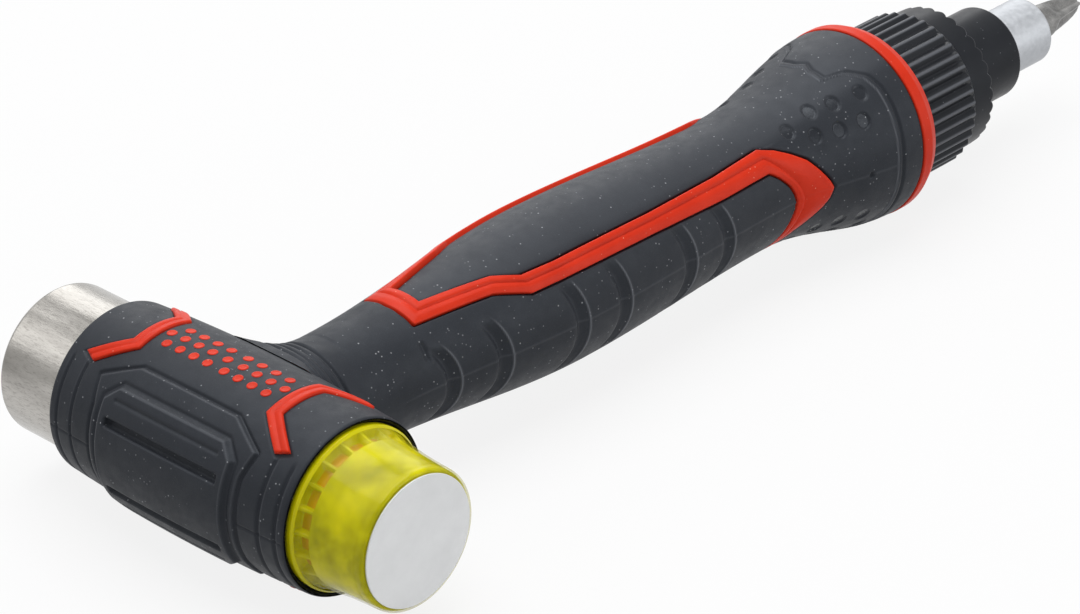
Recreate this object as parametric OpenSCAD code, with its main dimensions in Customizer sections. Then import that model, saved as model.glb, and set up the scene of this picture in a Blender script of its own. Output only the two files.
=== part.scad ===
// Interchangeable-head hammer with a ratchet bit driver in the end of its handle.
// The head lies along Y, the handle along +X, and the tool lies on its side with +Z up.
// All sizes are in millimetres.

/* [Head] */
// Length of the rubber head cover
cover_len = 56.8; // [50:0.2:64]
// Diameter of the head cover at its middle
cover_mid_d = 32.8; // [31:0.1:36]
// Diameter of the head cover at its two mouths
cover_end_d = 31; // [30.6:0.1:33]
// Diameter of the steel head block under the cover
block_d = 26; // [24:0.1:27]
// How far the block's ends lie inside the cover's mouths
block_recess = 2; // [1.5:0.1:3]
// Height of the raised eight-sided pad on the head's outer side
pad_height = 0.8; // [0.4:0.1:1.5]
// Length of that pad along the head
pad_len = 37; // [32:0.5:40]
// Height of that pad across the head
pad_width = 28.4; // [22:0.2:30]
// Diameter of one red dot
dot_d = 1.8; // [1.2:0.1:2]
// Distance between neighbouring dots in a row
dot_pitch = 3.3; // [2.8:0.1:3.6]
// Angle between rows of dots around the head
dot_row_angle = 9.4; // [8:0.1:11]

/* [Threads] */
// Outer diameter of the thread that holds each face
thread_d = 12; // [10:0.5:14]
// Thread pitch
thread_pitch = 1.75; // [1.5:0.25:2]
// Number of turns that hold a face
thread_turns = 6; // [4:1:7]
// Radial room between a stud and its socket
thread_room = 0.1; // [0.05:0.01:0.2]
// Thickness of the washer behind each face
washer_t = 1; // [0.6:0.1:1.4]
// Outer diameter of that washer
washer_d = 21; // [18:0.5:23]

/* [Faces] */
// Diameter of the steel face
steel_d = 27.2; // [25:0.1:28]
// Length of the steel face that stands out of the cover
steel_out = 14.9; // [10:0.1:20]
// Bevel around the steel face
steel_bevel = 0.8; // [0.4:0.1:1.5]
// Diameter of the plastic face at its rim
plastic_rim_d = 28.8; // [27.4:0.1:29.2]
// Width of that rim
plastic_rim_w = 2.6; // [1.6:0.1:3.5]
// Diameter of the plastic face next to the rim
plastic_d = 27; // [26:0.1:28]
// Diameter of the plastic face where its edge starts to round
plastic_front_d = 24.9; // [24.6:0.1:26.4]
// Length of the plastic face that stands out of the cover
plastic_out = 14.7; // [11:0.1:20]
// Radius of the rounded edge of the plastic face
plastic_edge_r = 0.8; // [0.4:0.1:0.9]
// Number of moulded pockets in the back of the plastic face
pocket_count = 20; // [12:1:24]
// Depth of those pockets
pocket_depth = 5; // [3:0.1:7]
// Diameter of the round label
label_d = 23; // [16:0.1:23.2]
// Thickness of the label
label_t = 0.2; // [0.1:0.05:0.4]

/* [Handle] */
// Diameter of the grip at its neck, next to the head
neck_d = 21.8; // [21:0.1:24]
// Distance of the neck from the head's axis
neck_x = 22; // [20:0.5:26]
// Diameter of the grip at its belly
belly_d = 29.6; // [28:0.1:33]
// Distance of the belly from the head's axis
belly_x = 74; // [66:0.5:82]
// Diameter of the grip at its waist
waist_d = 26.4; // [25:0.1:29]
// Distance of the waist from the head's axis
waist_x = 123; // [116:0.5:126]
// Diameter of the pommel
pommel_d = 36.6; // [35.4:0.1:39]
// Distance of the pommel's end from the head's axis
pommel_x = 155.4; // [152:0.2:165]
// Diameter of the red core inside the grip
core_d = 17; // [16:0.1:18.4]
// Diameter of the steel shaft in the core
shaft_d = 12; // [10:0.1:13]
// Wall of the steel shaft
shaft_wall = 1.8; // [1:0.1:3]
// Diameter of the cross pin that holds the shaft in the head block
shaft_pin_d = 4; // [3:0.1:5]
// Depth of the red trim in the rubber
trim_depth = 1.5; // [0.8:0.1:1.8]
// How far the red trim stands out of the rubber
trim_proud = 0.25; // [0.1:0.05:0.5]
// Width of the red trim, seen from above
trim_w = 2.7; // [2:0.1:3.4]
// Width of the lower panel as a share of the upper one
lower_share = 0.72; // [0.7:0.02:0.9]

/* [Ratchet end] */
// Diameter of the red ring at the handle's end
ring_d = 37.4; // [36.8:0.1:40]
// Width of that ring
ring_w = 4.3; // [3:0.1:5]
// Width of the ring's plain part, behind its taper
ring_flat = 2.2; // [1.5:0.1:2.6]
// How much the ring narrows towards its front edge, on the radius
ring_taper = 1; // [0.4:0.1:1.4]
// Wall of the direction ring under its ribs
selector_wall = 1.7; // [1.5:0.1:2.2]
// Length of the direction ring
selector_len = 15.2; // [14:0.1:19]
// Number of ribs on the direction ring
rib_count = 40; // [34:1:46]
// Diameter of one rib
rib_d = 1.4; // [1:0.1:1.5]
// Angle from the middle to each end position of the direction ring
selector_angle = 24; // [18:1:30]
// Diameter of the neck that the direction ring turns on
housing_neck_d = 26; // [25.4:0.1:26.6]
// Diameter of the front cap's flange
flange_d = 28.5; // [27.6:0.1:29.4]
// Length of that flange
flange_len = 6.2; // [5.4:0.1:9]
// Number of scallops around the flange's front edge
scallop_count = 32; // [20:1:34]
// Diameter of the front cap's collar
collar_d = 18.4; // [16.4:0.1:20]
// Length of the collar
collar_len = 14.3; // [11:0.1:17]
// Running room between turning parts, on the radius
running_room = 0.06; // [0.03:0.01:0.09]
// End room between turning parts
end_room = 0.2; // [0.1:0.05:0.4]

/* [Ratchet] */
// Number of teeth on the ratchet gear
tooth_count = 24; // [24:12:36]
// Outer diameter of the ratchet gear
gear_d = 14.4; // [13.6:0.1:14.6]
// Height of one tooth
tooth_height = 0.9; // [0.6:0.05:1]
// Length of the ratchet gear
gear_len = 8; // [6:0.1:9]
// Thickness of each pawl along the handle
pawl_len = 6; // [4:0.1:6]
// Distance of the pawl pivots inside the surface of the neck
pawl_inset = 3; // [2.8:0.05:3.2]
// Diameter of each pawl pin
pawl_pin_d = 1.6; // [1.2:0.1:1.8]
// Diameter of the spindle
spindle_d = 9; // [8:0.1:9.4]
// Diameter of the spindle's tail
tail_d = 7; // [6:0.1:7.4]
// Wall of the bronze bush
bush_wall = 1.5; // [1:0.1:2]

/* [Bit] */
// Diameter of the bit sleeve
sleeve_d = 13.2; // [12:0.1:14.6]
// Length of the bit sleeve
sleeve_len = 12.6; // [11.5:0.1:18]
// Width of the bit's hexagon across its flats
bit_flats = 6.35; // [6.2:0.05:6.5]
// Length of the bit
bit_len = 25; // [22:0.5:32]
// Depth of the hexagon socket
socket_depth = 8.7; // [7:0.1:9.5]
// Room around the bit in its socket, on each side
socket_room = 0.08; // [0.04:0.02:0.16]
// Diameter of the round stem of the bit behind its point
bit_stem_d = 6; // [5.4:0.1:6.1]
// Length of the magnet behind the bit
magnet_len = 3; // [2:0.1:4]

/* [Hidden] */
$fn = 96;
eps = 0.01;

// Head stations along Y
cover_half = cover_len / 2;
block_half = cover_half - block_recess;
seat_y = block_half + washer_t;
stud_len = thread_pitch * thread_turns;
socket_len = stud_len + 1.5;
steel_y = cover_half + steel_out;
plastic_y = cover_half + plastic_out;
mouth_room = 0.4;
steel_mouth_d = steel_d + 2 * mouth_room;
plastic_mouth_d = plastic_rim_d + 2 * mouth_room;

// Handle stations along X
flare_x = 9;
flare_h = 8;
flare_end = 0.95;
neck_clip_slope = 0.17;
clip_margin = 0.5;
grip_start = neck_x - flare_end * (neck_x - flare_x);
profile_step = 3;

// Ratchet stations along X
ring_x = pommel_x;
ring_end = ring_x + ring_w;
selector_x = ring_end + end_room;
selector_bore = housing_neck_d + 2 * running_room;
selector_d = selector_bore + 2 * selector_wall;
selector_end = selector_x + selector_len;
housing_end = selector_end;
flange_x = housing_end + end_room;
flange_end = flange_x + flange_len;
collar_end = flange_end + collar_len;
sleeve_x = collar_end + end_room;
sleeve_end = sleeve_x + sleeve_len;
bit_x = sleeve_end - socket_depth;
tip_x = bit_x + bit_len;
housing_grip = 9.4;
housing_x = pommel_x - housing_grip;
core_lead = 8;
gear_lead = 3.2;
gear_x = selector_x + gear_lead;
gear_end = gear_x + gear_len;
gear_room = 0.35;
cavity_r = gear_d / 2 + gear_room;
tail_x = housing_x + 3;
core_cone_x = waist_x + 1;
core_end_r = housing_neck_d / 2 + 1.3;
shaft_x = -6;
shaft_end = waist_x - 5;
bush_r = spindle_d / 2 + running_room + bush_wall;
pawl_pivot_r = housing_neck_d / 2 - pawl_inset;
pawl_pocket_r = pawl_pivot_r + 1.9;
pawl_x = gear_x + (gear_len - pawl_len) / 2;
pawl_pivot_angle = 62;
pawl_tip_angle = 15;
pawl_boss_r = 1.4;
tooth_room = 0.12;

// Resting height: the red ring is the widest piece
row_x = (tip_x - cover_mid_d / 2 - pad_height) / 2;
row_y = (steel_y - plastic_y - label_t) / 2;
row_z = ring_d / 2;

// Row frame: the middle of the resting tool's footprint
module in_row_frame() {
    translate([-row_x, -row_y, row_z]) children();
}

// Turns a shape that stands along Z so that it lies along X or Y
module along_x() { rotate([0, 90, 0]) children(); }
module along_y() { rotate([-90, 0, 0]) children(); }

// Straight round bar or ring between two stations
module bar_x(x0, x1, d) { translate([x0, 0, 0]) along_x() cylinder(d = d, h = x1 - x0); }
module bar_y(y0, y1, d) { translate([0, y0, 0]) along_y() cylinder(d = d, h = y1 - y0); }
module ring_x(x0, x1, d, bore) {
    difference() {
        bar_x(x0, x1, d);
        bar_x(x0 - 1, x1 + 1, bore);
    }
}
module ring_y(y0, y1, d, bore) {
    difference() {
        bar_y(y0, y1, d);
        bar_y(y0 - 1, y1 + 1, bore);
    }
}

// Polar point in the plane across the handle
function polar(r, a) = [r * cos(a), r * sin(a)];

// Shape drawn in the plane across the handle, seen from the bit, and extruded along X
module across_handle(x0, len) {
    translate([x0, 0, 0]) rotate([90, 0, 90]) linear_extrude(height = len) children();
}

// Grip profile: each station is a high or low point, joined by a smooth ease
function ease(t) = (1 - cos(180 * min(1, max(0, t)))) / 2;
function blend(x, x0, d0, x1, d1) = (d0 + (d1 - d0) * ease((x - x0) / (x1 - x0))) / 2;
function flare_u(x) = (neck_x - x) / (neck_x - flare_x);
function grip_r(x) =
    x < neck_x ? neck_d / 2 + flare_h * (1 - sqrt(1 - pow(flare_u(x), 2)))
    : x < belly_x ? blend(x, neck_x, neck_d, belly_x, belly_d)
    : x < waist_x ? blend(x, belly_x, belly_d, waist_x, waist_d)
    : blend(x, waist_x, waist_d, pommel_x, pommel_d);
grip_steps = ceil((pommel_x - grip_start) / profile_step);
grip_xs = [for (i = [0:grip_steps]) grip_start + (pommel_x - grip_start) * i / grip_steps];

// Grip's outer form, grown or shrunk by an offset, levelled off and cut away where it meets the head
module grip_form(grow) {
    neck_z = neck_d / 2 + clip_margin + grow;
    head_z = neck_z + neck_clip_slope * (neck_x - grip_start);
    difference() {
        along_x() rotate_extrude()
            polygon(concat(
                [[0, grip_start]],
                [for (x = grip_xs) [grip_r(x) + grow, x]],
                [[0, pommel_x]]));
        for (side = [0, 1]) mirror([0, 0, side])
            rotate([90, 0, 0]) linear_extrude(height = pommel_d, center = true)
                polygon([
                    [grip_start - 1, head_z], [neck_x, neck_z],
                    [neck_x, pommel_d], [grip_start - 1, pommel_d]]);
        cover_barrel(0);
    }
}

// Head cover's barrel, grown by an offset
cover_edge = 0.6;
barrel_steps = 8;
function cover_r(y) = (cover_mid_d - (cover_mid_d - cover_end_d) * pow(y / cover_half, 2)) / 2;
module cover_barrel(grow) {
    straight = cover_half - cover_edge;
    along_y() rotate_extrude()
        polygon(concat(
            [[0, -cover_half], [cover_r(cover_half) + grow - cover_edge, -cover_half]],
            [for (i = [-barrel_steps:barrel_steps])
                let (y = straight * i / barrel_steps) [cover_r(y) + grow, y]],
            [[cover_r(cover_half) + grow - cover_edge, cover_half], [0, cover_half]]));
}

// Eight-sided outline of the raised pad, with cut corners
pad_cut_len = 7;
pad_cut_width = 2.6;
module pad_outline() {
    y1 = pad_len / 2;
    y0 = y1 - pad_cut_len;
    z1 = pad_width / 2;
    z0 = z1 - pad_cut_width;
    polygon([[-y0, -z1], [y0, -z1], [y1, -z0], [y1, z0], [y0, z1], [-y0, z1], [-y1, z0], [-y1, -z0]]);
}

// Chevron strip: a straight middle with two arms that lean towards the end of the head
chevron_y = 15.5;
chevron_knee = 5.6;
chevron_arm = 10.7;
chevron_rise = 7.8;
chevron_bar = 2.2;
module chevron() {
    arm = [chevron_arm - chevron_knee, chevron_rise];
    lean = [-arm[1], arm[0]] / norm(arm) * chevron_bar;
    knee = chevron_knee + lean[0] * chevron_bar / (chevron_bar + lean[1]);
    polygon([
        [-chevron_knee, 0], [chevron_knee, 0], [chevron_arm, chevron_rise],
        [chevron_arm, chevron_rise] + lean, [knee, chevron_bar], [-knee, chevron_bar],
        [-chevron_arm - lean[0], chevron_rise + lean[1]], [-chevron_arm, chevron_rise]]);
}

chevron_depth = 0.9;
module chevrons_form() {
    intersection() {
        for (side = [0, 1], end = [0, 1])
            mirror([0, 0, side]) mirror([0, end, 0])
                translate([0, chevron_y, 0]) linear_extrude(height = cover_mid_d) chevron();
        difference() {
            cover_barrel(trim_proud);
            cover_barrel(-chevron_depth);
        }
    }
}

// Red dots: three rows on the upper and lower side of the head, the middle row with one dot more
side_row_dots = 8;
dot_depth = 1;
dot_proud = 0.3;
module dots_form() {
    for (side = [0, 1], row = [-1:1]) {
        count = side_row_dots + (row == 0 ? 1 : 0);
        for (i = [0:count - 1]) {
            y = (i - (count - 1) / 2) * dot_pitch;
            mirror([0, 0, side]) rotate([0, row * dot_row_angle, 0])
                translate([0, y, cover_r(y) - dot_depth]) cylinder(d = dot_d, h = dot_depth + dot_proud);
        }
    }
}

// Head

module head_block() {
    color("dimgray") difference() {
        bar_y(-block_half, block_half, block_d);
        for (end = [0, 1]) mirror([0, end, 0])
            bar_y(block_half - socket_len, block_half + 1, thread_d + 2 * thread_room);
        bar_x(shaft_x, block_d, shaft_d);
        translate([0, 0, -block_d]) cylinder(d = shaft_pin_d, h = 2 * block_d);
    }
}

module head_cover() {
    color("#2b2d30") difference() {
        union() {
            cover_barrel(0);
            intersection() {
                cover_barrel(pad_height);
                translate([-cover_mid_d, 0, 0]) rotate([90, 0, 90])
                    linear_extrude(height = cover_mid_d) pad_outline();
            }
        }
        bar_y(-block_half, block_half, block_d);
        bar_y(block_half - eps, cover_half + 1, steel_mouth_d);
        bar_y(-cover_half - 1, -block_half + eps, plastic_mouth_d);
        bar_x(0, cover_mid_d, core_d);
        chevrons_form();
        dots_form();
    }
}

module head_chevrons() { color("#d8341f") chevrons_form(); }

module head_dots() { color("#d8341f") dots_form(); }

module shaft_tube() {
    color("silver") difference() {
        ring_x(shaft_x, shaft_end, shaft_d, shaft_d - 2 * shaft_wall);
        translate([0, 0, -shaft_d]) cylinder(d = shaft_pin_d, h = 2 * shaft_d);
    }
}

module shaft_pin() {
    color("silver") translate([0, 0, -block_d / 2 + 1]) cylinder(d = shaft_pin_d, h = block_d - 2);
}

// Faces

module stud(root) {
    bar_y(seat_y - stud_len, seat_y + root, thread_d);
}

module face_washer() { ring_y(block_half, seat_y, washer_d, thread_d + 4 * thread_room); }

module steel_face_washer() { color("silver") face_washer(); }
module plastic_face_washer() { color("silver") mirror([0, 1, 0]) face_washer(); }

module steel_face() {
    color("lightgray") union() {
        along_y() rotate_extrude()
            polygon([
                [0, seat_y], [steel_d / 2, seat_y], [steel_d / 2, steel_y - steel_bevel],
                [steel_d / 2 - steel_bevel, steel_y], [0, steel_y]]);
        stud(1);
    }
}

stud_root = 8;
stud_flange_d = 18;
stud_flange_t = 3;
module plastic_face_stud() {
    color("silver") mirror([0, 1, 0]) union() {
        stud(stud_root);
        bar_y(seat_y + stud_root - stud_flange_t, seat_y + stud_root, stud_flange_d);
    }
}

// Back pockets of the plastic face, seen through its clear wall
pocket_outer_d = 24.6;
pocket_inner_d = 21.4;
pocket_rib = 0.7;
module pockets() {
    difference() {
        ring_y(seat_y - 1, seat_y + pocket_depth, pocket_outer_d, pocket_inner_d);
        for (i = [0:pocket_count - 1]) rotate([0, i * 360 / pocket_count, 0])
            translate([0, seat_y - 2, -pocket_rib / 2])
                cube([pocket_outer_d, pocket_depth + 4, pocket_rib]);
    }
}

module plastic_face() {
    front_r = plastic_front_d / 2;
    edge_y = plastic_y - plastic_edge_r;
    rim_y = cover_half + plastic_rim_w - 1;
    color("#d8cf14", 0.7) mirror([0, 1, 0]) difference() {
        along_y() rotate_extrude()
            polygon(concat(
                [[0, seat_y], [plastic_rim_d / 2, seat_y], [plastic_rim_d / 2, rim_y],
                 [plastic_d / 2, rim_y + 0.6]],
                [for (a = [0:15:90])
                    [front_r - plastic_edge_r + plastic_edge_r * cos(a), edge_y + plastic_edge_r * sin(a)]],
                [[0, plastic_y]]));
        pockets();
        stud(stud_root);
        bar_y(seat_y + stud_root - stud_flange_t, seat_y + stud_root, stud_flange_d);
    }
}

module face_label() {
    color("whitesmoke") mirror([0, 1, 0]) bar_y(plastic_y, plastic_y + label_t, label_d);
}

// Handle

module core_form() {
    along_x() rotate_extrude()
        polygon([
            [0, grip_start - core_lead], [core_d / 2, grip_start - core_lead], [core_d / 2, core_cone_x],
            [core_end_r, housing_x], [core_end_r, pommel_x], [0, pommel_x]]);
}

module handle_core() {
    color("#d8341f") difference() {
        union() {
            core_form();
            bar_x(ring_x, ring_x + ring_flat, ring_d);
            translate([ring_x + ring_flat, 0, 0]) along_x()
                cylinder(d1 = ring_d, d2 = ring_d - 2 * ring_taper, h = ring_w - ring_flat);
        }
        bar_y(-cover_half, cover_half, block_d);
        bar_x(0, shaft_end, shaft_d);
        bar_x(housing_x, ring_end + 1, housing_neck_d);
    }
}

// Red trim: a band around the upper panel, open towards the pommel
trim_start = 36;
trim_inner_start = 40;
trim_step_x = 53;
trim_knee_x = 59;
trim_len = 82;
trim_stop = trim_start + trim_len;
trim_end_half = 6;
trim_step_y = 9;
trim_knee_y = 11.5;
trim_belly_y = 12.3;
trim_stop_y = 11.2;
trim_outer = [
    [trim_start, -trim_end_half], [trim_start, trim_end_half],
    [trim_step_x, trim_step_y], [trim_knee_x, trim_knee_y],
    [belly_x, trim_belly_y], [trim_stop, trim_stop_y], [trim_stop, -trim_stop_y],
    [belly_x, -trim_belly_y], [trim_knee_x, -trim_knee_y], [trim_step_x, -trim_step_y]];
trim_inner = [
    [trim_inner_start, -trim_end_half + trim_w], [trim_inner_start, trim_end_half - trim_w],
    [trim_step_x, trim_step_y - trim_w], [trim_knee_x, trim_knee_y - trim_w],
    [belly_x, trim_belly_y - trim_w], [trim_stop + 1, trim_stop_y - trim_w],
    [trim_stop + 1, -trim_stop_y + trim_w], [belly_x, -trim_belly_y + trim_w],
    [trim_knee_x, -trim_knee_y + trim_w], [trim_step_x, -trim_step_y + trim_w]];
function narrowed(outline, share) = [for (p = outline) [p[0], p[1] * share]];
module trim_band(share) {
    linear_extrude(height = pommel_d) difference() {
        polygon(narrowed(trim_outer, share));
        polygon(narrowed(trim_inner, share));
    }
}

// Hook of trim around each side of the grip, from the upper band's end to the lower one's
hook_tip = trim_stop + 16.2;
hook_bend = trim_stop + 13.4;
hook_bend_z = 2.6;
hook_inner = trim_stop + 9;
hook_inner_bend = trim_stop + 2.7;
hook_inner_z = 1.8;
low_bend = trim_stop + 4.4;
low_inner_bend = trim_stop + 3.6;
function band_end_z(y) = sqrt(pow(grip_r(trim_stop), 2) - pow(y, 2));
hook_top = band_end_z(trim_stop_y - trim_w);
hook_bottom = band_end_z(trim_stop_y);
low_top = band_end_z(lower_share * (trim_stop_y - trim_w));
low_bottom = band_end_z(lower_share * trim_stop_y);
hook_root = lower_share * (trim_stop_y - trim_w);
module hook_outline() {
    polygon([
        [trim_stop, hook_top], [hook_bend, hook_bend_z], [hook_tip, 0],
        [hook_bend, -hook_bend_z], [low_bend, -low_top], [trim_stop, -low_top], [trim_stop, -low_bottom],
        [low_inner_bend, -low_bottom], [hook_inner, -hook_inner_z],
        [hook_inner, hook_inner_z], [hook_inner_bend, hook_bottom], [trim_stop, hook_bottom]]);
}

module grip_skin() {
    difference() {
        grip_form(trim_proud);
        grip_form(-trim_depth);
    }
}

module upper_trim() {
    color("#d8341f") intersection() {
        trim_band(1);
        grip_skin();
    }
}

module lower_trim() {
    color("#d8341f") mirror([0, 0, 1]) intersection() {
        trim_band(lower_share);
        grip_skin();
    }
}

module front_hook_trim() {
    color("#d8341f") intersection() {
        translate([0, -hook_root, 0]) rotate([90, 0, 0])
            linear_extrude(height = pommel_d) hook_outline();
        grip_skin();
    }
}

module rear_hook_trim() { mirror([0, 1, 0]) front_hook_trim(); }

module handle_grip() {
    color("#2b2d30") difference() {
        grip_form(0);
        core_form();
        upper_trim();
        lower_trim();
        front_hook_trim();
        rear_hook_trim();
    }
}

// Ratchet end

// Pocket for one pawl, open to the gear's cavity
module pawl_pocket() {
    across_handle(pawl_x - end_room, pawl_len + 2 * end_room)
        polygon(concat(
            [polar(cavity_r - 1, 4)],
            [for (a = [4:8:84]) polar(pawl_pocket_r, a)],
            [polar(cavity_r - 1, 84)]));
}

module pawl_pin_bar(x0, x1) {
    translate([x0, polar(pawl_pivot_r, pawl_pivot_angle)[0], polar(pawl_pivot_r, pawl_pivot_angle)[1]])
        along_x() cylinder(d = pawl_pin_d, h = x1 - x0);
}

pin_grip = 2;
detent_w = 7;
detent_len = 5;
detent_depth = 2;
detent_x = gear_x + 1;
detent_room = 0.5;
module detent_pocket() {
    translate([detent_x, -detent_w / 2, -housing_neck_d / 2 - 1])
        cube([detent_len, detent_w, detent_depth + 1]);
}

module ratchet_housing() {
    color("#1d1e20") difference() {
        bar_x(housing_x, housing_end, housing_neck_d);
        bar_x(gear_x - end_room, housing_end + 1, 2 * cavity_r);
        bar_x(tail_x, housing_end, tail_d + 2 * running_room);
        bar_x(gear_x - clip_groove_w - 2 * end_room, gear_x, clip_d + 2 * gear_room);
        for (side = [0, 1]) mirror([0, side, 0]) {
            pawl_pocket();
            pawl_pin_bar(pawl_x - pin_grip, pawl_x + pawl_len + pin_grip);
        }
        detent_pocket();
    }
}

// Wedge-shaped teeth around a plain drum
module gear_outline() {
    tip_r = gear_d / 2;
    polygon([for (i = [0:2 * tooth_count - 1])
        polar(i % 2 == 0 ? tip_r - tooth_height : tip_r, i * 180 / tooth_count)]);
}

module ratchet_gear() {
    color("gray") difference() {
        across_handle(gear_x, gear_len) gear_outline();
        bar_x(gear_x - 1, gear_end + 1, tail_d);
    }
}

// Pawl on the positive side: a boss on its pin and an arm to the teeth.
// It is drawn with its nose on the tooth tips, part of the way up from a tooth gap.
pawl_rest_lift = 7.5;
module pawl_form() {
    pivot = polar(pawl_pivot_r, pawl_pivot_angle);
    root_r = gear_d / 2 - tooth_height + tooth_room;
    translate([0, pivot[0], pivot[1]]) rotate([pawl_rest_lift, 0, 0]) translate([0, -pivot[0], -pivot[1]])
    difference() {
        union() {
            translate([pawl_x, pivot[0], pivot[1]]) along_x() cylinder(r = pawl_boss_r, h = pawl_len);
            across_handle(pawl_x, pawl_len) polygon([
                polar(pawl_pivot_r - 1.1, pawl_pivot_angle), polar(cavity_r + 0.5, 30),
                polar(cavity_r + 0.1, 22), polar(root_r, pawl_tip_angle), polar(cavity_r + 0.6, 11),
                polar(cavity_r + 1.6, 18), polar(pawl_pivot_r + 0.4, pawl_pivot_angle - 6)]);
        }
        pawl_pin_bar(pawl_x - 1, pawl_x + pawl_len + 1);
    }
}

module left_pawl() { color("gray") pawl_form(); }
module right_pawl() { color("gray") mirror([0, 1, 0]) pawl_form(); }

module pawl_pins() {
    color("silver") for (side = [0, 1]) mirror([0, side, 0])
        difference() {
            pawl_pin_bar(pawl_x - pin_grip, pawl_x + pawl_len + pin_grip);
            translate([pawl_x - eps, 0, 0]) pawl_pin_relief();
        }
}

// Room between a pin and the pawl that turns on it
module pawl_pin_relief() {
    pivot = polar(pawl_pivot_r, pawl_pivot_angle);
    translate([0, pivot[0], pivot[1]]) along_x() difference() {
        cylinder(d = pawl_pin_d + 1, h = pawl_len + 2 * eps);
        translate([0, 0, -1]) cylinder(d = pawl_pin_d - 2 * running_room, h = pawl_len + 3);
    }
}

// Bent leaf spring between the pocket's outer wall and the pawl's back
module pawl_spring_form() {
    leaf = 0.3;
    across_handle(pawl_x + 1, pawl_len - 2)
        polygon(concat(
            [for (a = [16:4:44]) polar(pawl_pocket_r - 0.15 - (44 - a) * 0.055, a)],
            [for (a = [44:-4:16]) polar(pawl_pocket_r - 0.15 - leaf - (44 - a) * 0.055, a)]));
}

module left_pawl_spring() { color("silver") pawl_spring_form(); }
module right_pawl_spring() { color("silver") mirror([0, 1, 0]) pawl_spring_form(); }

// Leaf spring whose nose clicks into the direction ring
nose_r = 0.55;
module detent_spring() {
    half = detent_w / 2 - 0.2;
    leaf = 0.4;
    base_z = -housing_neck_d / 2 + detent_depth;
    rise = detent_depth - 0.35;
    color("silver") across_handle(detent_x + 0.3, detent_len - 0.6)
        polygon([
            [-half, base_z - leaf], [-nose_r - 0.4, base_z - rise], [0, base_z - rise - nose_r],
            [nose_r + 0.4, base_z - rise], [half, base_z - leaf], [half, base_z],
            [nose_r + 0.2, base_z - rise + leaf], [-nose_r - 0.2, base_z - rise + leaf], [-half, base_z]]);
}

module selector_ring() {
    color("#1d1e20") difference() {
        union() {
            bar_x(selector_x, selector_end, selector_d);
            for (i = [0:rib_count - 1]) rotate([i * 360 / rib_count, 0, 0])
                translate([0, 0, selector_d / 2]) bar_x(selector_x + 0.4, selector_end - 0.8, rib_d);
        }
        bar_x(selector_x - 1, selector_end + 1, selector_bore);
        for (a = [-1:1]) rotate([a * selector_angle, 0, 0])
            translate([0, 0, -selector_bore / 2])
                bar_x(detent_x - detent_room, detent_x + detent_len + detent_room, 3 * nose_r);
    }
}

spigot_len = 2;
spigot_wall = 1.2;
scallop_depth = 0.4;
module front_cap() {
    color("#1d1e20") difference() {
        union() {
            bar_x(flange_x, flange_end, flange_d);
            bar_x(flange_end - eps, collar_end, collar_d);
            bar_x(flange_x - spigot_len, flange_x + eps, 2 * cavity_r);
        }
        bar_x(flange_x - spigot_len - 1, flange_end - 2, 2 * (cavity_r - spigot_wall));
        bar_x(flange_x, collar_end + 1, 2 * bush_r);
        for (i = [0:scallop_count - 1]) rotate([i * 360 / scallop_count, 0, 0])
            translate([flange_end, 0, flange_d / 2 + 1.2 - scallop_depth]) rotate([0, 75, 0])
                translate([0, 0, -4]) cylinder(r = 1.2, h = 8);
    }
}

module bearing_bush() {
    color("#b08d57") ring_x(flange_end - 2, collar_end, 2 * bush_r, spindle_d + 2 * running_room);
}

clip_groove_w = 1;
clip_d = tail_d + 2.6;
clip_groove_d = tail_d - 1;
module spindle() {
    color("silver") difference() {
        union() {
            bar_x(tail_x + end_room, gear_end, tail_d);
            bar_x(gear_end, sleeve_x + eps, spindle_d);
            bar_x(sleeve_x, bit_x - magnet_len, sleeve_d - 2 * sleeve_wall);
        }
        ring_x(gear_x - clip_groove_w, gear_x, tail_d + 1, clip_groove_d);
    }
}

module spindle_clip() {
    color("silver") difference() {
        ring_x(gear_x - clip_groove_w, gear_x, clip_d, clip_groove_d);
        translate([gear_x - clip_groove_w - 1, -1.2, 0]) cube([clip_groove_w + 2, 2.4, clip_d]);
    }
}

module thrust_washer() {
    color("#b08d57") ring_x(gear_end, gear_end + 1, 2 * (cavity_r - 0.5), spindle_d);
}

// Bit holder

sleeve_wall = 1.6;
module hexagon_bar(x0, x1, flats) {
    translate([x0, 0, 0]) along_x() cylinder(d = flats / cos(30), h = x1 - x0, $fn = 6);
}

clip_ring_x = sleeve_end - 2.6;
clip_ring_w = 0.8;
clip_wire = 0.7;
clip_ring_d = bit_flats / cos(30) + 2 * clip_wire + 0.1;
module bit_sleeve() {
    color("lightgray") difference() {
        union() {
            bar_x(sleeve_x, sleeve_end - 0.5, sleeve_d);
            translate([sleeve_end - 0.5, 0, 0]) along_x()
                cylinder(d1 = sleeve_d, d2 = sleeve_d - 1, h = 0.5);
        }
        hexagon_bar(bit_x - 0.01, sleeve_end + 1, bit_flats + 2 * socket_room);
        bar_x(sleeve_x - 1, bit_x, sleeve_d - 2 * sleeve_wall);
        bar_x(clip_ring_x, clip_ring_x + clip_ring_w, clip_ring_d);
    }
}

module socket_magnet() {
    color("gray") bar_x(bit_x - magnet_len, bit_x - 0.05, sleeve_d - 2 * sleeve_wall);
}

// Split spring ring in a groove of the socket
module bit_clip() {
    color("silver") difference() {
        ring_x(clip_ring_x, clip_ring_x + clip_ring_w, clip_ring_d, clip_ring_d - 2 * clip_wire);
        translate([clip_ring_x - 1, -0.8, 0]) cube([clip_ring_w + 2, 1.6, clip_ring_d]);
    }
}

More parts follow.
